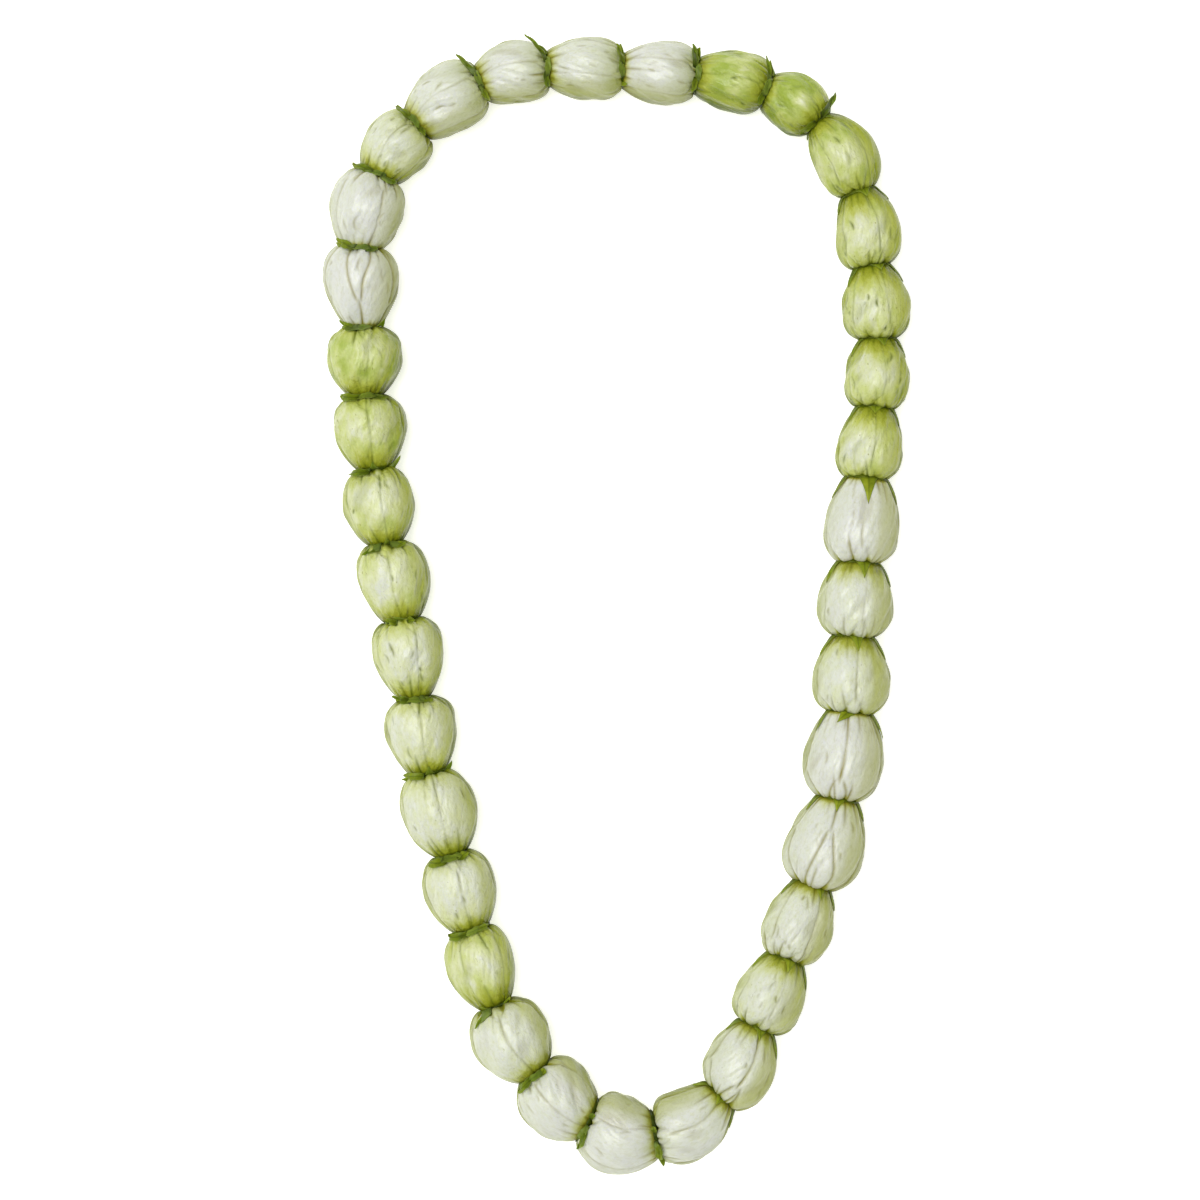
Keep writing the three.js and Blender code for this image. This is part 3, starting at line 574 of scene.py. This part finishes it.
def groove_sepal(bud, seam, hand, long, broad, middle, drift, lift, draw):
    """Rings of a sepal that lies across the joint and runs round it to one hand."""
    a = np.linspace(0, 1, SEPAL_ROWS)[:, None]
    width = broad * np.clip(3.9 * (0.12 + a) * (1 - a) * 0.82, 0, 1) ** 0.6 + 0.1
    wander = middle + drift * a**1.3 + 0.35 * np.sin(3 * a + draw.uniform(0, 6)) + draw.uniform(-0.15, 0.15)
    back, front = wander - 0.5 * width, wander + 0.5 * width
    r_back, r_front = groove_radius(bud, back), groove_radius(bud, front)
    thick = 0.6 * (1 - 0.4 * a) * np.sqrt(np.clip(1.02 - a**4, 0, 1))
    t = wander + RING * width / 2 + 0.12 * RING * np.sin(14 * a + draw.uniform(0, 6))
    r = r_back + (r_front - r_back) * (RING + 1) / 2
    turn = seam + hand * long * a / (r_back + r_front) * 2 * (1 - 0.2 * a)
    height = 0.05 + lift * a**1.5 + thick * (0.5 + 0.5 * FACE * SWELL_ACROSS) + 0.18 * KEEL
    height = height + 0.14 * np.sin(11 * a + 3 * RING + draw.uniform(0, 6))
    height = height + draw.uniform(0.15, 0.32) * width * np.abs(RING) ** 1.5  # folded along its middle
    return placed(bud, t, r + height, turn), thick


def standing_sepal(bud, seam, lean, long, broad, draw):
    """Rings of a sepal that stands off, turned by lean from the bud's axis."""
    a = np.linspace(0, 1, SEPAL_ROWS)
    radius, length = bud["radius"], bud["length"]
    t, r, turn = [-0.7], [0.84 * bud["base"] * radius], [seam]
    swirl = draw.uniform(-0.25, 0.25)
    curl = draw.uniform(-0.25, 0.25)
    direction = []
    step = long / (SEPAL_ROWS - 1)
    slope = math.atan2(float(profile(bud, 0.04) - profile(bud, 0)) * radius, 0.04 * length)
    for part in a[:-1]:
        angle = slope + (lean - slope) * smooth(0, 0.3, part) + curl * part**2
        around = swirl * 2 * part / (SEPAL_ROWS - 1)
        direction.append(angle)
        t.append(t[-1] + step * math.cos(angle))
        r.append(r[-1] + step * math.sin(angle))
        turn.append(turn[-1] + around)
    direction.append(direction[-1])
    t, r, turn, direction = (np.array(values) for values in (t, r, turn, direction))
    thick = 0.7 * (1 - 0.4 * a) * np.sqrt(np.clip(1.03 - a**5, 0, 1))
    t = t - np.sin(direction) * 0.5 * thick
    r = r + np.cos(direction) * 0.5 * thick
    middle = placed(bud, t, r, turn)
    along = units(np.gradient(middle, axis=0))
    face_way = placed(bud, t - 0.01 * np.sin(direction), r + 0.01 * np.cos(direction), turn) - middle
    face_way = units(face_way - (face_way * along).sum(1)[:, None] * along)
    wide_way = np.cross(along, face_way)
    # one that stands off sideways turns its face up
    twist = draw.uniform(-0.3, 0.3) * a + np.tanh(2.5 * np.sin(turn)) * smooth(0.05, 0.4, a)
    twist = twist[:, None]
    face_way, wide_way = (
        np.cos(twist) * face_way + np.sin(twist) * wide_way,
        np.cos(twist) * wide_way - np.sin(twist) * face_way,
    )
    a = a[:, None]
    root = 0.5 * bud["base"] * radius
    width = root * (1 - smooth(0, 0.3, a)) + broad * smooth(0, 0.3, a)
    width = width * np.clip(1 - a**2, 0, 1) ** 0.8 + 0.1
    b = RING * (1 + 0.06 * np.sin(9 * a + 3 * RING + draw.uniform(0, 6)))
    cup = draw.uniform(-0.05, 0.3)
    offset = thick[:, None] * (0.5 * FACE * SWELL_ACROSS + 0.25 * KEEL) + cup * width * RING**2
    offset = offset + 0.07 * np.sin(7 * a + 2.5 * RING + draw.uniform(0, 6))
    points = middle[:, None] + (b * width / 2)[..., None] * wide_way[:, None]
    return points + offset[..., None] * face_way[:, None], thick[:, None]


def sepal(bud, index, draw):
    """Rings of one sepal from its root to its tip. Number 0 is uppermost, and the next are outwards of it."""
    seam = math.radians(bud["roll"]) + 2 * math.pi * index / PETALS
    long = bud["sepal"] * draw.uniform(0.9, 1.12)
    under, lime = 0.0, draw.uniform(0.0, 0.4)
    if bud["lean"] <= HUGGING:
        way = math.radians(bud["way"]) * (1 if math.cos(seam) > 0 else -0.5) + draw.uniform(-0.1, 0.1)
        lift = draw.uniform(0.05, 0.25) + 0.03 * bud["lean"]
        leafy = bud["green"] > 0.4
        full = 0.0
        lime = draw.uniform(0.25, 0.6) if leafy else draw.uniform(0.55, 0.9)
        broad = (2.6 + 0.34 * bud["sepal"]) * (1.25 if leafy else 1)
        if index in (1, 4):  # those at its sides are broad and lie along its outline
            hand = 1 if index == 1 else -1
            seam = hand * math.radians(80 + draw.uniform(-8, 8))
            way = -0.1 * hand
            lift *= 0.3
            full, broad, long = 1.0, 3.2, min(1.55 * long, 8.5)
            lime *= 0.5
        elif leafy:
            long = 0.8 * long
        points, thick = hugging_sepal(bud, seam, way, long, broad, lift, full, draw)
    elif index == 0 and abs(bud["way"]) > ACROSS_JOINT:
        hand = 1 if bud["way"] > 0 else -1
        start = hand * (-0.42 + 0.05 * (abs(bud["way"]) - LEVEL_WAY)) + draw.uniform(-0.1, 0.1)
        under = 0.7
        points, thick = groove_sepal(bud, start, hand, 6.6, 1.8, 0.1, 0, 0.6, draw)
    elif index == 0:
        under = 0.3
        points, thick = hugging_sepal(bud, seam, math.radians(bud["way"]), 3.6, 3.2, 0.4, 0, draw)
    elif index == 1:
        broad = 1.3 + 0.16 * bud["sepal"]
        drift = 1.25 * long * math.cos(math.radians(bud["lean"]))
        points, thick = groove_sepal(bud, 0.15, 1, 1.2 * long + 0.6, broad, -0.4, drift, 2.0, draw)
    elif index == 2:
        lean = math.radians(bud["lean"] + draw.uniform(-12, 12))
        seam = math.radians(58 + draw.uniform(-10, 10))
        points, thick = standing_sepal(bud, seam, lean, 0.9 * long, 1.6 + 0.26 * bud["sepal"], draw)
    elif index == 4 and bud["inner"] <= 0.5:
        reach = 2 * bud["inner"] * long + 1.2
        points, thick = groove_sepal(bud, -0.2, -1, reach, 1.7, -0.4, 0.5, 1.2, draw)
    elif index == 4:
        lean = math.radians(draw.uniform(48, 62))
        points, thick = standing_sepal(bud, seam, lean, 1.15 * long * bud["inner"], 1.8, draw)
    else:
        way = draw.uniform(-0.5, 0.5)
        points, thick = hugging_sepal(bud, seam, way, long * bud["inner"] + 0.8, 2.4, 0.4, 0, draw)

    # kept off the bud before it and off the surface
    depth = thick * (0.5 - 0.5 * FACE)
    plane = 0.05 + depth - (points - bud["start"]) @ bud["facing"]
    short = np.minimum(plane + 1.0, short_of_apex(bud["before"], points, 0.1 + depth))
    points = points + np.maximum(short, 0)[..., None] * bud["facing"]
    points[..., 2] = np.maximum(points[..., 2], 0.05 + 0.02 * (1 - FACE))
    shape = points.shape[:2]
    values = {
        "along": np.broadcast_to(np.linspace(0, 1, SEPAL_ROWS)[:, None], shape),
        "edge": np.broadcast_to(RING, shape),
        "under": np.maximum(np.broadcast_to((FACE < 0) * 1.0, shape), under),
        "lime": np.full(shape, lime),
    }
    return points, values


def calyx(bud, material):
    """The sepals on a small cup that holds the corolla's base, as one object."""
    draw = np.random.RandomState(CALYX_SEED + bud["number"])
    verts, faces, total = [], [], 0
    store = {"along": [], "edge": [], "under": [], "lime": []}

    def add(points, values):
        nonlocal total
        rows, columns = points.shape[:2]
        quads = grid_faces(rows, columns, total)
        # both ends close on a middle place
        ends = []
        for row, flip in ((0, True), (rows - 1, False)):
            middle = total + rows * columns + (0 if row == 0 else 1)
            ring = total + row * columns + np.arange(columns)
            after = total + row * columns + (np.arange(columns) + 1) % columns
            tri = np.stack([ring, after, np.full(columns, middle)], axis=-1)
            if flip:
                tri = tri[:, ::-1]
            ends.append(np.concatenate([tri, tri[:, 2:3]], axis=1))
        verts.append(points.reshape(-1, 3))
        verts.append(points[0].mean(0)[None])
        verts.append(points[-1].mean(0)[None])
        faces.extend([quads] + ends)
        for key in store:
            value = values[key]
            store[key] += [value.ravel(), [value[0].mean()], [value[-1].mean()]]
        total += rows * columns + 2

    # the cup, coloured dark as painted shade in the joint
    radius = bud["base"] * bud["radius"]
    # places along the axis, and from it as shares of the base's radius
    section = [(-1.5, 0.3), (-1.4, 0.6), (-1.0, 0.84), (-0.4, 0.98), (0, 1.02), (0.45, 1.05), (0.4, 0.95)]
    around = 60
    turn = np.linspace(0, 2 * np.pi, around, endpoint=False)
    ribs = 0.98 + 0.035 * np.cos(PETALS * (turn - math.radians(bud["roll"]))) + 0.02 * np.cos(13 * turn + 1)
    rings = np.stack([placed(bud, np.full(around, t), radius * share * ribs, turn) for t, share in section])
    shape = rings.shape[:2]
    # its low along value paints the cup with the dark of the roots
    look = {"along": 0.03, "edge": -0.4, "under": 0.0, "lime": 0.1 if bud["lean"] > HUGGING else 0.6}
    add(rings, {key: np.full(shape, value) for key, value in look.items()})
    for index in range(PETALS):
        add(*sepal(bud, index, draw))
    values = {key: np.concatenate([np.asarray(v, float) for v in value]) for key, value in store.items()}
    name = f"calyx_{bud['number']:02d}"
    quads = np.concatenate(faces)
    return poly_object(name, np.concatenate(verts), quads, values, material)


# ---------------------------------------------------------------- the thread


def twisted(path, run, across, turns):
    """Rings of three plies twisted round a path that runs one way, with another way across it."""
    around = np.linspace(0, 2 * np.pi, THREAD_SIDES, endpoint=False)[None, :]
    across = units(across)
    over = np.cross(run, across)
    radius = THREAD / 2 * (0.84 + 0.16 * np.cos(3 * around + turns))
    return (
        path[:, None, :]
        + (radius * np.cos(around))[..., None] * across[:, None, :]
        + (radius * np.sin(around))[..., None] * over[:, None, :]
    )


def thread_object(buds, material):
    """One closed thread through all the buds, with its knot."""
    corners = []
    for bud in buds:
        height = (bud["before"]["height"] + bud["height"]) / 2
        corners.append(np.array([bud["start"][0], bud["start"][1], height]))
    path = []
    for i, corner in enumerate(corners):
        after = corners[(i + 1) % len(corners)]
        for step in range(10):
            path.append(corner + (after - corner) * step / 10)
    path = np.array(path)
    for _ in range(2):  # the corners are eased
        path = (np.roll(path, 1, 0) + 2 * path + np.roll(path, -1, 0)) / 4
    run = units(np.roll(path, -1, 0) - np.roll(path, 1, 0))
    turns = 2 * np.pi * THREAD_TWISTS * np.arange(len(path))[:, None] / len(path)
    points = twisted(path, run, np.cross(UP, run), turns)
    quads = grid_faces(len(path), THREAD_SIDES, close_rows=True)[:, ::-1]
    # the knot, hidden in a dimple
    bud = buds[KNOT_BUD]
    middle = bud["end"] + UP * bud["height"] - KNOT_BACK * bud["axis"]
    way = np.linspace(0, 2 * np.pi, KNOT_ROWS, endpoint=False)[:, None]

    def trefoil(angle):
        a, b = np.sin(angle) + 2 * np.sin(2 * angle), np.cos(angle) - 2 * np.cos(2 * angle)
        return middle + KNOT_SIZE * (a * bud["side"] + b * UP - 1.3 * np.sin(3 * angle) * bud["axis"])

    run = units(trefoil(way + 0.01) - trefoil(way - 0.01))
    knot = twisted(trefoil(way), run, np.cross(run, bud["axis"] + 0.3 * UP), 6 * way)
    knot_quads = grid_faces(len(way), THREAD_SIDES, first=len(path) * THREAD_SIDES, close_rows=True)
    points = np.concatenate([points.reshape(-1, 3), knot.reshape(-1, 3)])
    return mesh_object("thread_twisted", points, np.concatenate([quads, knot_quads]), {}, None, material)


# ---------------------------------------------------------------- materials


def srgb(r, g, b):
    def linear(c):
        c = c / 255
        return c / 12.92 if c <= 0.04045 else ((c + 0.055) / 1.055) ** 2.4

    return (linear(r), linear(g), linear(b), 1.0)


def shades(*stops):
    return [(position, srgb(*colour)) for position, *colour in stops]


class Nodes:
    """A small helper that adds nodes to a material and links them."""

    def __init__(self, name):
        self.material = bpy.data.materials.new(name)
        self.material.use_nodes = True
        self.tree = self.material.node_tree
        self.tree.nodes.clear()
        self.out = self.tree.nodes.new("ShaderNodeOutputMaterial")
        self.shader = self.tree.nodes.new("ShaderNodeBsdfPrincipled")
        self.link(self.shader.outputs[0], self.out.inputs[0])

    def link(self, a, b):
        self.tree.links.new(a, b)

    def add(self, kind, **settings):
        node = self.tree.nodes.new(kind)
        for key, value in settings.items():
            setattr(node, key, value)
        return node

    def value(self, name):
        return self.add("ShaderNodeAttribute", attribute_name=name).outputs["Fac"]

    def vector(self, name):
        return self.add("ShaderNodeAttribute", attribute_name=name).outputs["Vector"]

    def math(self, kind, a, b=None, clamp=False):
        """One step of arithmetic, on values or links."""
        node = self.add("ShaderNodeMath", operation=kind, use_clamp=clamp)
        for socket, item in zip(node.inputs, (a, b)):
            if item is None:
                continue
            if isinstance(item, (int, float)):
                socket.default_value = item
            else:
                self.link(item, socket)
        return node.outputs[0]

    def plus(self, a, b, clamp=False):
        return self.math("ADD", a, b, clamp)

    def times(self, a, b):
        return self.math("MULTIPLY", a, b)

    def set(self, name, value):
        self.shader.inputs[name].default_value = value

    def noise(self, vector, scale, detail=3, roughness=0.5, distortion=0.0):
        node = self.add("ShaderNodeTexNoise")
        node.inputs["Scale"].default_value = scale
        node.inputs["Detail"].default_value = detail
        node.inputs["Roughness"].default_value = roughness
        node.inputs["Distortion"].default_value = distortion
        if vector is not None:
            self.link(vector, node.inputs["Vector"])
        return node.outputs["Fac"]

    def scaled(self, vector, scale):
        node = self.add("ShaderNodeMapping")
        node.inputs["Scale"].default_value = scale
        self.link(vector, node.inputs["Vector"])
        return node.outputs[0]

    def ramp(self, fac, stops):
        node = self.add("ShaderNodeValToRGB")
        elements = node.color_ramp.elements
        while len(elements) < len(stops):
            elements.new(0.5)
        for element, (position, colour) in zip(elements, stops):
            element.position = position
            element.color = colour
        self.link(fac, node.inputs[0])
        return node.outputs[0]

    def mix(self, fac, a, b, blend="MIX"):
        node = self.add("ShaderNodeMix", data_type="RGBA", blend_type=blend)
        for socket, item in ((node.inputs[0], fac), (node.inputs[6], a), (node.inputs[7], b)):
            if isinstance(item, (int, float, tuple)):
                socket.default_value = item
            else:
                self.link(item, socket)
        return node.outputs[2]

    def tint(self, fac, base, colour):
        """base, multiplied by a colour where fac is 1."""
        return self.mix(fac, base, self.mix(1.0, base, colour, "MULTIPLY"))

    def rescale(self, value, low, high):
        """value, from 0 where it is low to 1 where it is high."""
        node = self.add("ShaderNodeMapRange", clamp=True)
        self.link(value, node.inputs[0])
        node.inputs[1].default_value = low
        node.inputs[2].default_value = high
        return node.outputs[0]

    def bump(self, height, strength, distance):
        node = self.add("ShaderNodeBump")
        node.inputs["Strength"].default_value = strength
        node.inputs["Distance"].default_value = distance
        self.link(height, node.inputs["Height"])
        self.link(node.outputs[0], self.shader.inputs["Normal"])


def petal_material(name):
    n = Nodes(name)
    grain = n.vector("grain")  # millimetres round the bud, drawn out along it
    skin = n.scaled(grain, (1, 1, 3.6))
    fibres = n.noise(grain, 1.1, 5, 0.6)
    cloud = n.noise(skin, 0.17, 2, 0.5)
    patch = n.noise(skin, 0.36, 3, 0.45, 0.4)
    pucker = n.noise(skin, 0.8, 3, 0.5, 0.9)
    mottle = n.noise(skin, 1.1, 5, 0.62, 0.4)
    specks = n.noise(skin, 1.3, 1, 0.5)

    green = n.value("green")
    leafy = n.rescale(green, 0.0, 0.4)
    quiet = n.plus(n.times(leafy, 0.5), 0.5)  # a white bud is smoother
    swing = n.plus(n.times(green, 0.9), 0.1)
    wave = n.plus(n.times(cloud, 1.6), n.times(patch, 1.2))
    wave = n.math("SUBTRACT", wave, 1.42)
    tone = n.plus(green, n.times(wave, swing), True)
    base = n.ramp(tone, shades(
        (0.0, 224, 226, 218), (0.2, 223, 227, 208),
        (0.4, 220, 225, 180), (0.6, 207, 216, 142), (0.8, 188, 202, 110), (1.0, 166, 185, 74),
    ))

    dull_spots = n.times(n.rescale(mottle, 0.46, 0.7), 0.5)
    base = n.tint(dull_spots, base, n.mix(leafy, (0.8, 0.79, 0.6, 1.0), (0.78, 0.8, 0.4, 1.0)))

    amount = n.value("stain")
    stain = n.plus(amount, n.times(n.math("SUBTRACT", fibres, 0.5), 0.4), True)
    stain = n.times(stain, n.rescale(amount, 0.0, 0.12))
    leafy_stain = n.ramp(stain, shades(
        (0.0, 206, 213, 138), (0.3, 188, 195, 78),
        (0.62, 152, 160, 32), (0.85, 120, 130, 12), (1.0, 60, 68, 4),
    ))
    pale_stain = n.ramp(stain, shades(
        (0.0, 212, 217, 172), (0.3, 197, 201, 116),
        (0.62, 158, 159, 48), (0.85, 108, 111, 14), (1.0, 58, 64, 5),
    ))
    stained = n.mix(leafy, pale_stain, leafy_stain)
    brown = n.times(n.rescale(patch, 0.56, 0.7), n.rescale(amount, 0.3, 0.7))
    stained = n.mix(n.times(brown, 0.3), stained, srgb(150, 122, 30))
    base = n.mix(n.rescale(stain, 0.0, 0.45), base, stained)

    # painted shade on its flanks, duller than its top
    painted_flank_shade = n.mix(leafy, (0.66, 0.69, 0.48, 1.0), (0.64, 0.68, 0.2, 1.0))
    base = n.tint(n.value("flank"), base, painted_flank_shade)
    # painted shade: a darker, warmer green on the side away from the light
    side = n.mix(leafy, (0.68, 0.69, 0.36, 1.0), (0.62, 0.65, 0.1, 1.0))
    base = n.tint(n.value("shaded_side"), base, side)

    # painted shade: darker round its outline, where it turns from the light
    rim = n.mix(leafy, (0.66, 0.68, 0.38, 1.0), (0.56, 0.6, 0.06, 1.0))
    base = n.tint(n.value("limb_shade"), base, rim)

    # the creases' own olive, with painted shade in the fold valleys, at the ends and in the dimple
    crease = n.value("crease")
    shade = n.mix(leafy, srgb(152, 140, 24), srgb(106, 120, 8))
    base = n.mix(n.rescale(crease, 0.06, 0.85), base, n.mix(0.6, n.mix(1.0, base, shade, "MULTIPLY"), shade))
    dots = n.plus(n.times(leafy, 0.5), 0.1)
    dots = n.times(n.rescale(specks, 0.71, 0.78), dots)
    base = n.mix(dots, base, srgb(136, 134, 46))
    n.link(base, n.shader.inputs["Base Color"])

    rough = n.add("ShaderNodeMapRange")
    n.link(fibres, rough.inputs[0])
    rough.inputs[3].default_value = 0.34
    rough.inputs[4].default_value = 0.54
    n.link(rough.outputs[0], n.shader.inputs["Roughness"])
    n.set("Subsurface Weight", 0.2)
    n.set("Subsurface Radius", (0.9, 1.0, 0.45))
    n.set("Subsurface Scale", 0.0012)
    n.set("Specular IOR Level", 0.35)
    n.set("Coat Weight", 0.25)
    n.set("Coat Roughness", 0.2)
    relief = n.plus(n.times(fibres, 0.12), n.times(patch, 1.1))
    relief = n.plus(relief, n.times(pucker, 0.8))
    relief = n.times(relief, quiet)
    n.bump(relief, 0.9, 0.0006)
    return n.material


def calyx_material():
    n = Nodes("calyx_green")
    coordinates = n.add("ShaderNodeTexCoord").outputs["Object"]
    patchy = n.noise(coordinates, 520, 4, 0.6)
    along, lime = n.value("along"), n.value("lime")
    tone = n.plus(n.times(along, 0.5), n.times(patchy, 0.8))
    tone = n.math("SUBTRACT", tone, 0.05, True)
    dark = n.ramp(tone, shades(
        (0.1, 30, 40, 0), (0.4, 64, 82, 2),
        (0.7, 100, 122, 10), (1.0, 132, 152, 32),
    ))
    light = n.ramp(tone, shades(
        (0.1, 58, 68, 2), (0.4, 128, 140, 18),
        (0.7, 162, 174, 44), (1.0, 178, 184, 76),
    ))
    base = n.mix(lime, dark, light)
    off = n.math("ABSOLUTE", n.value("edge"))
    # pale margins on the darker sepals, partly a painted highlight; a painted shade line round the edges of
    # the lime ones
    edge_tint = n.mix(lime, srgb(158, 174, 84), srgb(92, 108, 14))
    base = n.mix(n.times(n.rescale(off, 0.7, 1.0), 0.5), base, edge_tint)
    # painted shade on one half of each lime sepal, the half turned from the light
    half = n.times(n.rescale(n.value("edge"), -0.1, 0.15), n.rescale(lime, 0.4, 1.0))
    base = n.mix(n.times(half, 0.4), base, srgb(92, 108, 12))
    keel = n.rescale(off, 0.25, 0.0)
    base = n.mix(n.times(keel, 0.5), base, srgb(46, 62, 3))
    base = n.mix(n.times(n.value("under"), 0.5), base, srgb(116, 138, 62))
    # painted shade at the sepals' roots and over the cup, where the joint is in shadow
    root = n.rescale(along, 0.12, 0.0)
    base = n.mix(n.times(root, 0.6), base, srgb(34, 46, 2))
    tip = n.times(n.rescale(along, 0.88, 1.0), n.rescale(patchy, 0.4, 0.6))
    base = n.mix(n.times(tip, 0.7), base, srgb(92, 74, 24))
    n.link(base, n.shader.inputs["Base Color"])
    n.set("Roughness", 0.45)
    n.set("Specular IOR Level", 0.2)
    n.set("Subsurface Weight", 0.06)
    n.set("Subsurface Radius", (0.4, 1.0, 0.2))
    n.set("Subsurface Scale", 0.0006)
    n.bump(patchy, 0.6, 0.0004)
    return n.material


def thread_material():
    n = Nodes("thread_cotton")
    coordinates = n.add("ShaderNodeTexCoord").outputs["Object"]
    lint = n.noise(coordinates, 2600, 4, 0.7)
    base = n.ramp(lint, shades((0.3, 206, 200, 178), (0.7, 238, 234, 220)))
    n.link(base, n.shader.inputs["Base Color"])
    n.set("Roughness", 0.85)
    n.bump(lint, 0.6, 0.0001)
    return n.material


def floor_material():
    n = Nodes("floor_pale")
    coordinates = n.add("ShaderNodeTexCoord").outputs["Object"]
    faint = n.noise(coordinates, 6, 2, 0.5)
    base = n.ramp(faint, [(0.3, (0.92, 0.92, 0.915, 1)), (0.7, (0.94, 0.94, 0.935, 1))])
    n.link(base, n.shader.inputs["Base Color"])
    n.link(base, n.shader.inputs["Emission Color"])
    n.set("Emission Strength", 0.62)  # it is lit from below too, as a light table is
    n.set("Roughness", 0.9)
    n.set("Specular IOR Level", 0.1)
    return n.material


# ---------------------------------------------------------------- the lei


def slot_of(green):
    if green < 0.15:
        return "petals_white"
    if green < 0.35:
        return "petals_tinged"
    return "petals_pale_green" if green < 0.7 else "petals_lime"


buds = strung()
petals = {}
for slot in ("petals_white", "petals_tinged", "petals_pale_green", "petals_lime"):
    petals[slot] = petal_material(slot + "_wax")
green_calyx = calyx_material()

for bud in buds:
    slot = slot_of(bud["green"])
    points, values, grain = corolla(bud)
    faces = grid_faces(len(points), COLUMNS, close_rows=True)[:, ::-1]
    flower = mesh_object(f"corolla_{bud['number']:02d}", points, faces, values, grain, petals[slot])
    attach(flower, "root")
    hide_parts(f"bud_{bud['number']:02d}")

for bud in buds:
    leaves = calyx(bud, green_calyx)
    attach(leaves, "root")
    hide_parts(f"bud_{bud['number']:02d}")

string = thread_object(buds, thread_material())
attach(string, "root")
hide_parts("thread")

# ---------------------------------------------------------------- floor, light and camera

HALF_FLOOR = 2.5  # metres
FLOOR_DROP = 0.0001  # below the lei, so that the two don't share a plane
floor_mesh = bpy.data.meshes.new("floor")
floor_mesh.from_pydata(
    [(x * HALF_FLOOR, y * HALF_FLOOR, 0) for x, y in ((-1, -1), (1, -1), (1, 1), (-1, 1))],
    [],
    [(0, 1, 2, 3)],
)
floor = bpy.data.objects.new("floor", floor_mesh)
floor.location.z = -FLOOR_DROP
bpy.context.scene.collection.objects.link(floor)
floor_mesh.materials.append(floor_material())


def area_light(name, place, target, size, power):
    lamp = bpy.data.lights.new(name, "AREA")
    lamp.shape = "DISK"
    lamp.size = size
    lamp.energy = power
    obj = bpy.data.objects.new(name, lamp)
    obj.location = place
    obj.rotation_euler = (Vector(target) - Vector(place)).to_track_quat("-Z", "Y").to_euler()
    bpy.context.scene.collection.objects.link(obj)


area_light("key", (-0.85, 0.25, 3.85), (0, 0, 0), 2.6, 140)
world = bpy.data.worlds.new("studio")
bpy.context.scene.world = world
world.use_nodes = True
background = world.node_tree.nodes["Background"]
background.inputs[0].default_value = (1, 1, 1, 1)
background.inputs[1].default_value = 0.22

LENS = 100
SENSOR = 36
FRAME_WIDTH = PHOTO_PIXELS * PHOTO_SCALE * MM
MIDDLE_HEIGHT = 0.011  # of the buds' axes
camera_data = bpy.data.cameras.new("camera")
camera_data.lens = LENS
camera_data.sensor_width = SENSOR
camera_data.sensor_fit = "HORIZONTAL"
camera_data.clip_start = 0.05
camera_data.clip_end = 20
camera = bpy.data.objects.new("camera", camera_data)
middle_x, middle_y = PHOTO_MIDDLE
camera.location = (middle_x * MM, middle_y * MM, MIDDLE_HEIGHT + FRAME_WIDTH * LENS / SENSOR)
bpy.context.scene.collection.objects.link(camera)
bpy.context.scene.camera = camera
bpy.context.scene.view_settings.view_transform = "Standard"
